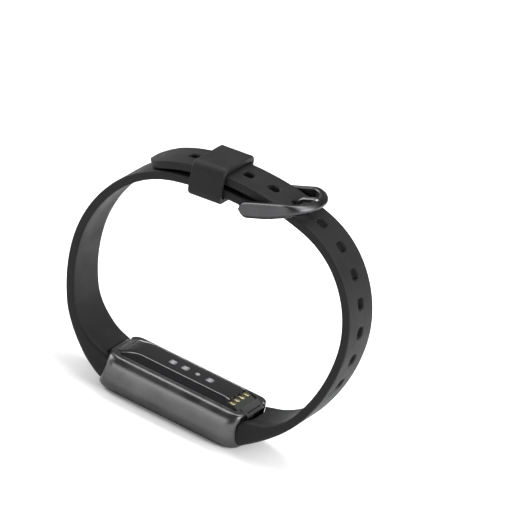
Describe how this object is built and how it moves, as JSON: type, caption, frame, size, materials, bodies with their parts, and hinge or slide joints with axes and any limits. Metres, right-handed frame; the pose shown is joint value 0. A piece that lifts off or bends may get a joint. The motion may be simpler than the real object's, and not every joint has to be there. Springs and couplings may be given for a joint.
{
  "type": "fitness tracker band",
  "caption": "Slim fitness tracker pod on a soft strap, buckled into a ring through a keeper loop, with charging contacts and light windows on the skin side.",
  "frame": {"origin": "centre of the display glass's flat face, which the band stands on", "axes": "+X along the pod towards the charging contacts, +Y along the wrist, +Z from the display towards the skin side and the buckle"},
  "size_m": [0.0693, 0.0176, 0.0619],
  "materials": {
    "display_glass": "clear black display glass, polished",
    "adhesive": "black adhesive film",
    "display_dark": "unlit display panel",
    "case_metal": "graphite anodised, fine satin blast",
    "seal_rubber": "moulded seal",
    "cover_black": "gloss black moulding",
    "window_grey": "light grey translucent windows",
    "insert_dark": "dark moulded insert",
    "contact_gold": "pale gold plating",
    "inner_plastic": "glass-filled nylon",
    "battery_foil": "battery pouch",
    "bright_steel": "bright steel",
    "rotor_metal": "dense sintered metal",
    "board_green": "solder mask",
    "chip_black": "moulded packages",
    "led_clear": "clear encapsulant",
    "latch_black": "gloss black, satin slit",
    "strap_silicone": "matte charcoal silicone",
    "keeper_silicone": "matte charcoal silicone",
    "buckle_metal": "dark gunmetal coating, satin",
    "tang_metal": "dark gunmetal coating, polished edges"
  },
  "bodies": {
    "root": {"front_glass": "display_glass", "display_gasket": "adhesive", "display_panel": "display_dark", "case_shell": "case_metal", "back_seal": "seal_rubber", "back_cover": "cover_black", "sensor_windows": "window_grey", "contact_carrier": "insert_dark", "charge_contacts": "contact_gold", "midframe": "inner_plastic", "battery_cell": "battery_foil", "vibration_motor_can": "bright_steel", "main_board": "board_green", "board_chips": "chip_black", "sensor_board": "board_green", "sensor_leds": "led_clear", "latch_tongue_hole_side": "inner_plastic", "latch_tongue_buckle_side": "inner_plastic", "latch_spring_hole_side": "bright_steel", "latch_spring_buckle_side": "bright_steel", "hole_strap": "strap_silicone", "buckle_strap": "strap_silicone"},
    "buckle": {"buckle_frame": "buckle_metal", "buckle_pin": "bright_steel"},
    "tang": {"buckle_tang": "tang_metal"},
    "keeper": {"keeper_loop": "keeper_silicone"},
    "button_hole_side": {"release_button_hole_side": "latch_black"},
    "button_buckle_side": {"release_button_buckle_side": "latch_black"},
    "motor_rotor": {"vibration_motor_rotor": "rotor_metal"}
  },
  "joints": [
    {"name": "buckle_hinge", "type": "hinge", "parent": "root", "child": "buckle", "pos_m": [0.005, 0, 0.05525], "axis": [0, -1, 0], "range_deg": [-2, 2]},
    {"name": "tang_hinge", "type": "hinge", "parent": "buckle", "child": "tang", "pos_m": [0.005, 0, 0.05525], "axis": [0, -1, 0], "range_deg": [0, 2]},
    {"name": "keeper_slide", "type": "hinge", "parent": "root", "child": "keeper", "pos_m": [0, 0, -0.00655], "axis": [0, 1, 0], "range_deg": [-4.6, 4.2]},
    {"name": "button_press_hole_side", "type": "slide", "parent": "root", "child": "button_hole_side", "axis": [0, 0, -1], "range_m": [0, 0.0005], "stiffness_N_per_m": 2500, "springref_m": -0.0002, "deforming": ["latch_spring_hole_side"]},
    {"name": "button_press_buckle_side", "type": "slide", "parent": "root", "child": "button_buckle_side", "axis": [0, 0, -1], "range_m": [0, 0.0005], "stiffness_N_per_m": 2500, "springref_m": -0.0002, "deforming": ["latch_spring_buckle_side"]},
    {"name": "motor_spin", "type": "hinge", "parent": "root", "child": "motor_rotor", "pos_m": [0.0084, 0, 0.0044], "axis": [0, 0, 1], "continuous": true}
  ]
}
